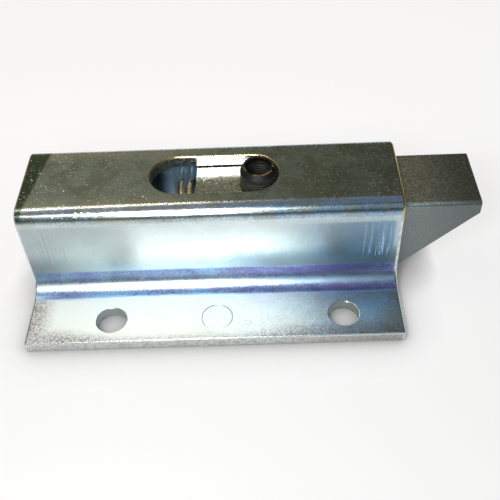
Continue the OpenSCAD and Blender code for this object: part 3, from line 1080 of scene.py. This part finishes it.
class OBJECT_OT_end_bolt_housing(bpy.types.Operator):
    """Folds the housing, punches its slot and holes and plates it"""
    bl_idname = "object.end_bolt_housing"
    bl_label = "Housing"

    def execute(self, context):
        """Makes the housing"""
        sizes, colours = context.scene.housing_sizes, context.scene.plating_colours
        sheet = folded_sheet(sizes)
        join_or_cut(sheet, slot_cutter(sizes))
        for side in (-1, 1):
            for end in (-1, 1):
                punch(sheet, sizes, end * sizes.hole_pitch / 2, side * sizes.hole_y)
        plug = (PLUG_LOW + PLUG_HIGH) / 2
        punch(sheet, sizes, plug.x, plug.y)
        only_finish(sheet, finish("zinc plated sheet", plated_sheet, colours),
                    *cut_finishes(colours), finish("rolled edge", rolled_edge, colours),
                    finish("inner face", inner_face, colours))
        mark_cut_faces(sheet, sizes)
        weigh_rolled_edges(sheet, sizes)
        round_edges(sheet, sizes.rolled_end, segments=ROLL_STEPS, finish_index=ROLLED,
                    weighted_edges=True)
        finish_piece(sheet, HOUSING_BODY, "zinc_sheet", "housing")
        return {"FINISHED"}


SLUG_ROUND = 0.3 * MM


class OBJECT_OT_end_bolt_plug(bpy.types.Operator):
    """Closes the third hole of the front foot with its own slug"""
    bl_idname = "object.end_bolt_plug"
    bl_label = "Closed punching"

    def execute(self, context):
        """Makes the slug"""
        centre = (PLUG_LOW + PLUG_HIGH) / 2
        radius = (PLUG_HIGH.x - PLUG_LOW.x) / 2
        slug = drum("hole_slug", radius, (centre.x, centre.y, PLUG_LOW.z),
                    (centre.x, centre.y, PLUG_HIGH.z))
        only_finish(slug, finish("zinc plated sheet", plated_sheet, context.scene.plating_colours))
        round_edges(slug, SLUG_ROUND)
        finish_piece(slug, HOUSING_BODY, "zinc_sheet", "hole_plug")
        return {"FINISHED"}


BAR_EDGE_STEPS = 6


def ramped_bar(sizes, rear):
    """The bar with its rounded long edges, cut along the ramp under its nose"""
    bm = boxed((rear, BOLT_LOW.y, BOLT_LOW.z), BOLT_HIGH)
    long_edges = [edge for edge in bm.edges
                  if abs(edge.verts[0].co.x - edge.verts[1].co.x) > MM]
    bmesh.ops.bevel(bm, geom=long_edges, offset=sizes.edge_round, segments=BAR_EDGE_STEPS,
                    profile=0.5, affect="EDGES", material=-1)
    lip = Vector((BOLT_HIGH.x, 0.0, BOLT_HIGH.z - sizes.nose_flat))
    under = Vector((math.sin(sizes.ramp_angle), 0.0, -math.cos(sizes.ramp_angle)))
    cut = bmesh.ops.bisect_plane(bm, geom=bm.verts[:] + bm.edges[:] + bm.faces[:],
                                 plane_co=lip, plane_no=under, clear_outer=True)
    bmesh.ops.edgeloop_fill(
        bm, edges=[part for part in cut["geom_cut"] if isinstance(part, bmesh.types.BMEdge)])
    return make_piece("bolt_bar", bm)


def spigot(sizes, rear):
    """The peg behind the bar, which goes into the spring"""
    radius, reach, lead = sizes.spigot_radius, sizes.spigot_length, sizes.spigot_lead
    return turned("peg", [(0.0, -PAST), (radius, -PAST), (radius, reach - lead),
                          (radius - lead, reach), (0.0, reach)],
                  (rear, SPRING_AXIS.y, SPRING_AXIS.z), (-1.0, 0.0, 0.0))


class OBJECT_OT_end_bolt_bar(bpy.types.Operator):
    """Makes the sliding bar with its ramp, pin hole and spigot"""
    bl_idname = "object.end_bolt_bar"
    bl_label = "Bolt"

    def execute(self, context):
        """Makes the bar"""
        sizes, colours = context.scene.bolt_sizes, context.scene.plating_colours
        rear = BOLT_LOW.x + sizes.spigot_length
        bar = ramped_bar(sizes, rear)
        pin = (PIN_LOW + PIN_HIGH) / 2
        join_or_cut(bar, drum("drill", (PIN_HIGH.x - PIN_LOW.x) / 2,
                              (pin.x, pin.y, BOLT_LOW.z - PAST),
                              (pin.x, pin.y, BOLT_HIGH.z + PAST)))
        join_or_cut(bar, spigot(sizes, rear), "UNION")
        only_finish(bar, finish("zinc plated bar", satin_bar, colours))
        round_edges(bar, sizes.broken_edge)
        finish_piece(bar, BOLT_BODY, "zinc_bar", "bolt")
        return {"FINISHED"}


class OBJECT_OT_end_bolt_pin(bpy.types.Operator):
    """Turns the slotted pin, slits it and blackens it"""
    bl_idname = "object.end_bolt_pin"
    bl_label = "Slotted pin"

    def execute(self, context):
        """Makes the pin"""
        sizes = context.scene.pin_sizes
        outer = (PIN_HIGH.x - PIN_LOW.x) / 2
        height = PIN_HIGH.z - PIN_LOW.z
        rim, bore = outer - sizes.chamfer_width, outer - sizes.wall
        foot = ((PIN_LOW.x + PIN_HIGH.x) / 2, (PIN_LOW.y + PIN_HIGH.y) / 2, PIN_LOW.z)
        pin = turned("slotted_pin", [
            (bore, 0.0), (rim, 0.0), (outer, sizes.chamfer_height),
            (outer, height - sizes.chamfer_height), (rim, height), (bore, height)],
            foot, (0.0, 0.0, 1.0))
        saw = block("saw", (0.0, -sizes.slit / 2, -PAST),
                    (outer + PAST, sizes.slit / 2, height + PAST))
        saw.data.transform(Matrix.Translation(foot) @ Matrix.Rotation(sizes.slit_angle, 4, "Z"))
        join_or_cut(pin, saw)
        only_finish(
            pin, finish("black spring steel", black_spring_steel, context.scene.plating_colours))
        round_edges(pin, sizes.edge_round)
        finish_piece(pin, BOLT_BODY, "black_pin", "finger_pin")
        return {"FINISHED"}


# How finely the wire is drawn round and along a turn, and the share of a turn in which the
# closed end opens up
WIRE_SIDES, TURN_STEPS, OPENING_SHARE = 16, 60, 0.3


def wire_end(sizes, turns):
    """The round section of the wire at the spring's rear end, with the spring's centre there"""
    mean = (SPRING_HIGH.z - SPRING_LOW.z - sizes.wire) / 2
    start = sizes.end_angle - math.tau * turns
    out = Vector((0.0, math.cos(start), math.sin(start)))
    ahead = Vector((1.0, 0.0, 0.0))
    centre = Vector((SPRING_LOW.x + sizes.wire / 2, SPRING_AXIS.y, SPRING_AXIS.z))
    across = Matrix((ahead, out, ahead.cross(out))).transposed().to_4x4()
    bm = bmesh.new()
    bmesh.ops.create_circle(bm, cap_ends=False, segments=WIRE_SIDES, radius=sizes.wire / 2,
                            matrix=Matrix.Translation(centre + out * mean) @ across)
    return bm, centre


def coiled_wire(sizes):
    """The wire wound from closed turns at the rear over open ones to closed turns in front"""
    turns = sizes.open_turns + 2 * sizes.closed_turns
    steps = round(turns * TURN_STEPS)
    run = SPRING_HIGH.x - SPRING_LOW.x - sizes.wire
    open_pitch = (run - 2 * sizes.closed_turns * sizes.closed_pitch) / sizes.open_turns
    bm, centre = wire_end(sizes, turns)
    ring = bm.edges[:]
    for step in range(steps):
        turn = (step + 0.5) * turns / steps
        to_end = min(turn, turns - turn) - sizes.closed_turns
        opened = min(max(to_end / OPENING_SHARE + 0.5, 0.0), 1.0)
        pitch = sizes.closed_pitch + (open_pitch - sizes.closed_pitch) * opened
        spun = bmesh.ops.spin(
            bm, geom=ring, cent=centre, axis=(1.0, 0.0, 0.0), steps=1,
            dvec=(pitch * turns / steps, 0.0, 0.0), angle=math.tau * turns / steps)
        ring = [part for part in spun["geom_last"] if isinstance(part, bmesh.types.BMEdge)]
    bmesh.ops.holes_fill(bm, edges=bm.edges[:], sides=0)
    return make_piece("coil_spring", bm)


class OBJECT_OT_end_bolt_spring(bpy.types.Operator):
    """Coils the spring between the end plate and the bar"""
    bl_idname = "object.end_bolt_spring"
    bl_label = "Spring"

    def execute(self, context):
        """Makes the spring"""
        sizes = context.scene.spring_sizes
        spring = coiled_wire(sizes)
        only_finish(spring, finish("plated spring wire", spring_steel))
        spring.data.shade_smooth()
        finish_piece(spring, HOUSING_BODY, "spring_wire", "spring")
        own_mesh(spring)
        return {"FINISHED"}


# A bead's thickness against its leg, how finely a ripple is drawn and how the ripples vary,
# and the size of its skin's cells
BEAD_FULLNESS, BEAD_SKIN = 0.92, 0.22 * MM
RIPPLE_SIDES, RIPPLE_RINGS = 20, 12
WOBBLES = ((0.06, 2.3), (0.04, 5.1))


def weld_bead(name, start, end, leg, ripple):
    """A bead laid along the corner between two points, as overlapping ripples under one skin"""
    start, end = Vector(start), Vector(end)
    count = max(2, round((end - start).length / ripple))
    bm = bmesh.new()
    for step in range(count + 1):
        wobble = sum(depth * math.sin(step * pace) for depth, pace in WOBBLES)
        place = start.lerp(end, step / count)
        size = Matrix.Diagonal((leg * (BEAD_FULLNESS + wobble), leg * (BEAD_FULLNESS - wobble),
                                leg * BEAD_FULLNESS, 1.0))
        bmesh.ops.create_uvsphere(bm, u_segments=RIPPLE_SIDES, v_segments=RIPPLE_RINGS, radius=1.0,
                                  matrix=Matrix.Translation(place) @ size)
    bead = make_piece(name, bm)
    skin = bead.modifiers.new("skin", "REMESH")
    skin.mode = "VOXEL"
    skin.voxel_size = BEAD_SKIN
    settle(bead)
    return bead


STUD_ROUND = 0.2 * MM


def end_plate(sizes, colours):
    """The plate across the housing's rear end, drilled for the stud"""
    plate = block("end_plate_sheet", PLATE_LOW, PLATE_HIGH)
    join_or_cut(plate, drum("drill", sizes.shank / 2,
                            (PLATE_LOW.x - PAST, SPRING_AXIS.y, SPRING_AXIS.z),
                            (PLATE_HIGH.x + PAST, SPRING_AXIS.y, SPRING_AXIS.z)))
    only_finish(plate, finish("zinc plated sheet", plated_sheet, colours))
    round_edges(plate, sizes.edge_round)
    finish_piece(plate, HOUSING_BODY, "zinc_sheet", "end_plate")


def centring_stud(sizes, colours):
    """The stud in the end plate, with its head inside the spring"""
    depth = STUD_HIGH.x - PLATE_HIGH.x
    shank = PLATE_LOW.x - PLATE_HIGH.x
    head = (STUD_HIGH.z - STUD_LOW.z) / 2
    stud = turned("centring_stud", [
        (0.0, shank), (sizes.shank / 2, shank), (sizes.shank / 2, 0.0), (head, 0.0),
        (head, depth - sizes.stud_lead), (head - sizes.stud_lead, depth), (0.0, depth)],
        (PLATE_HIGH.x, SPRING_AXIS.y, SPRING_AXIS.z), (1.0, 0.0, 0.0))
    only_finish(stud, finish("zinc plated bar", satin_bar, colours))
    round_edges(stud, STUD_ROUND)
    finish_piece(stud, HOUSING_BODY, "zinc_bar", "spring_stud")


def plate_weld(node, sizes, colours):
    """The weld bead in one corner between the plate and the housing"""
    low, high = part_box(node)
    if node == "weld_top":
        ends = [(high.x, low.y, high.z), (high.x, high.y, high.z)]
    else:
        wall = low.y if node == "weld_front" else high.y
        ends = [(high.x, wall, low.z + sizes.bead_leg / 2),
                (high.x, wall, high.z - sizes.bead_leg / 2)]
    bead = weld_bead(node + "_bead", *ends, sizes.bead_leg, sizes.ripple)
    only_finish(bead, finish("plated weld bead", weld_metal, colours))
    bead.data.shade_smooth()
    finish_piece(bead, HOUSING_BODY, "weld_metal", node)


class OBJECT_OT_end_bolt_rear_stop(bpy.types.Operator):
    """Makes the end plate, its stud and the three weld beads"""
    bl_idname = "object.end_bolt_rear_stop"
    bl_label = "Rear stop"

    def execute(self, context):
        """Makes the rear stop"""
        sizes, colours = context.scene.rear_stop_sizes, context.scene.plating_colours
        end_plate(sizes, colours)
        centring_stud(sizes, colours)
        for node in ("weld_front", "weld_rear", "weld_top"):
            plate_weld(node, sizes, colours)
        return {"FINISHED"}


# Stage

WHITE, BLACK = (1.0, 1.0, 1.0), (0.0, 0.0, 0.0)
# Each lamp: its place and what it looks at, in metres, its width and height, its power as a
# share of the key light's and its tint
LAMPS = (
    ("key lamp", (-0.043, -0.190, 0.205), (0.0, -0.015, 0.010), (0.050, 0.080), 1.0, WHITE),
    ("wide lamp", (-0.060, -0.190, 0.205), (-0.030, -0.015, 0.010), (0.170, 0.022), 0.17, WHITE),
    ("low lamp", (-0.038, -0.245, 0.130), (0.0, -0.015, 0.010), (0.070, 0.050), 0.12, WHITE),
    ("fill lamp", (0.080, -0.260, 0.200), (0.020, -0.015, 0.010), (0.340, 0.180), 0.09,
     (0.94, 1.0, 1.0)),
    ("ceiling lamp", (-0.300, 0.200, 0.900), (-0.020, 0.0, 0.0), (0.700, 0.030), 2.143,
     (1.0, 0.92, 0.76)))

# The room's colours: behind the part to the left and to the right, ahead of it and overhead
ROOM_LEFT, ROOM_RIGHT = (0.235, 0.23, 0.165), (0.068, 0.070, 0.048)
ROOM_AHEAD, ROOM_OVERHEAD = (0.040, 0.065, 0.070), (0.26, 0.28, 0.34)
HORIZON_AHEAD, HORIZON_BEHIND = (0.14, 0.28, 0.33), (0.75, 0.75, 0.74)

# The floor's glow, how deep the painted shade where the part touches it, and how its tone changes
# towards the viewer, with a painted shade there, and away, over stretches in millimetres
FLOOR_REACH, FLOOR_GLOW = 1.5, (0.83, 0.822, 0.822)
CONTACT_REACH, CONTACT_DEPTH = 14.0, 1.8
NEAR_FLOOR, NEAR_TONES = (-85.0, -200.0), (1.0, 0.25)
FAR_FLOOR, FAR_TONES = (120.0, -80.0), (1.02, 0.84)

# The camera at the photograph's viewing angle, in millimetres and degrees
CAMERA_PLACE, CAMERA_TARGET = (12.735, -182.981, 192.806), (7.522, 1.753, 0.0)
CAMERA_ROLL, SENSOR_WIDTH, CLIP_START = -3.019, 36.0, 10.0


def softbox(name, place, target, size, power, tint):
    """A soft area lamp that looks at the target"""
    lamp = bpy.data.lights.new(name, "AREA")
    lamp.shape = "RECTANGLE"
    lamp.size, lamp.size_y = size
    lamp.energy = power
    lamp.color = tint
    holder = bpy.data.objects.new(name, lamp)
    holder.location = place
    holder.rotation_mode = "QUATERNION"
    holder.rotation_quaternion = (Vector(target) - Vector(place)).to_track_quat("-Z", "Y")
    bpy.context.scene.collection.objects.link(holder)


def dim_room():
    """A dim olive room over a pale horizon"""
    world = bpy.data.worlds.new("dim room")
    bpy.context.scene.world = world
    world.use_nodes = True
    tree = world.node_tree
    tree.nodes.clear()
    aside, ahead, up = axes_of(tree, tree.nodes.new("ShaderNodeTexCoord").outputs["Generated"])
    tone = mix(tree, fade(tree, aside, -0.30, 0.25), ROOM_LEFT, ROOM_RIGHT)
    tone = mix(tree, fade(tree, ahead, -0.35, 0.10), ROOM_AHEAD, tone)
    tone = mix(tree, fade(tree, up, 0.82, 0.96), tone, ROOM_OVERHEAD)
    horizon = mix(tree, fade(tree, ahead, -0.3, 0.1), HORIZON_AHEAD, HORIZON_BEHIND)
    tone = mix(tree, fade(tree, up, 0.02, 0.09), horizon, tone)
    light = add(tree, "ShaderNodeBackground", {"Color": tone, "Strength": 1.0})
    end = tree.nodes.new("ShaderNodeOutputWorld")
    tree.links.new(light.outputs[0], end.inputs["Surface"])


def pale_floor(tone):
    """A plain pale floor, which glows a little so that it is even, with painted shade round the part and
    towards the viewer
    """
    bm = bmesh.new()
    bmesh.ops.create_grid(bm, x_segments=1, y_segments=1, size=FLOOR_REACH)
    floor = make_piece("floor", bm)
    material, tree, shader, place = start_material("pale floor")
    for socket, value in (("Metallic", 0.0), ("Base Color", (tone, tone, tone, 1.0)),
                          ("Roughness", 0.9), ("Emission Strength", 1.0)):
        shader.inputs[socket].default_value = value
    open_sky = add(tree, "ShaderNodeAmbientOcclusion", {"Distance": CONTACT_REACH * MM})
    ahead = axes_of(tree, place)[1]
    lit = product(tree, calc(tree, "POWER", open_sky.outputs["AO"], CONTACT_DEPTH),
                  over(tree, ahead, NEAR_FLOOR, *NEAR_TONES),
                  over(tree, ahead, FAR_FLOOR, *FAR_TONES))
    tree.links.new(mix(tree, lit, BLACK, FLOOR_GLOW), shader.inputs["Emission Color"])
    floor.data.materials.append(material)


def aim_camera(lens):
    """Puts the camera at the photograph's viewing angle"""
    data = bpy.data.cameras.new("camera")
    data.lens = lens / MM
    data.sensor_width = SENSOR_WIDTH
    data.clip_start = CLIP_START * MM
    camera = bpy.data.objects.new("camera", data)
    place, target = Vector(CAMERA_PLACE) * MM, Vector(CAMERA_TARGET) * MM
    roll = Quaternion((0.0, 0.0, 1.0), math.radians(CAMERA_ROLL))
    camera.location = place
    camera.rotation_mode = "QUATERNION"
    camera.rotation_quaternion = (target - place).to_track_quat("-Z", "Y") @ roll
    bpy.context.scene.collection.objects.link(camera)
    bpy.context.scene.camera = camera


class SCENE_OT_end_bolt_stage(bpy.types.Operator):
    """Lays the floor, sets the lamps and aims the camera"""
    bl_idname = "scene.end_bolt_stage"
    bl_label = "Stage"

    def execute(self, context):
        """Makes the stage"""
        stage = context.scene.stage_settings
        aim_camera(stage.lens)
        pale_floor(stage.floor_tone)
        dim_room()
        for name, place, target, size, share, tint in LAMPS:
            softbox(name, place, target, size, share * stage.key_power, tint)
        context.scene.view_settings.view_transform = "Standard"
        return {"FINISHED"}


STEPS = (
    OBJECT_OT_end_bolt_housing,
    OBJECT_OT_end_bolt_plug,
    OBJECT_OT_end_bolt_bar,
    OBJECT_OT_end_bolt_pin,
    OBJECT_OT_end_bolt_spring,
    OBJECT_OT_end_bolt_rear_stop,
    SCENE_OT_end_bolt_stage,
)
GROUPS = {
    "housing_sizes": HousingSizes,
    "bolt_sizes": BoltSizes,
    "pin_sizes": PinSizes,
    "spring_sizes": SpringSizes,
    "rear_stop_sizes": RearStopSizes,
    "plating_colours": PlatingColours,
    "stage_settings": StageSettings,
}


class VIEW3D_PT_end_bolt(bpy.types.Panel):
    """The steps and sizes of the end bolt"""
    bl_idname = "VIEW3D_PT_end_bolt"
    bl_label = "Flush end bolt"
    bl_space_type = "VIEW_3D"
    bl_region_type = "UI"
    bl_category = "End bolt"

    def draw(self, context):
        """Lists the steps, then the settings"""
        for step in STEPS:
            self.layout.operator(step.bl_idname)
        for name, group in GROUPS.items():
            box = self.layout.box()
            box.label(text=name.replace("_", " "))
            for prop in group.__annotations__:
                box.prop(getattr(context.scene, name), prop)


def register():
    """Registers the settings, the steps and the panel"""
    for name, group in GROUPS.items():
        bpy.utils.register_class(group)
        setattr(bpy.types.Scene, name, bpy.props.PointerProperty(type=group))
    for step in (*STEPS, VIEW3D_PT_end_bolt):
        bpy.utils.register_class(step)


def unregister():
    """Takes them away again"""
    for step in (VIEW3D_PT_end_bolt, *reversed(STEPS)):
        bpy.utils.unregister_class(step)
    for name, group in reversed(GROUPS.items()):
        delattr(bpy.types.Scene, name)
        bpy.utils.unregister_class(group)


def main():
    """Builds the whole object"""
    register()
    bpy.ops.object.end_bolt_housing()
    bpy.ops.object.end_bolt_plug()
    bpy.ops.object.end_bolt_bar()
    bpy.ops.object.end_bolt_pin()
    bpy.ops.object.end_bolt_spring()
    bpy.ops.object.end_bolt_rear_stop()
    bpy.ops.scene.end_bolt_stage()


if __name__ == "__main__":
    main()
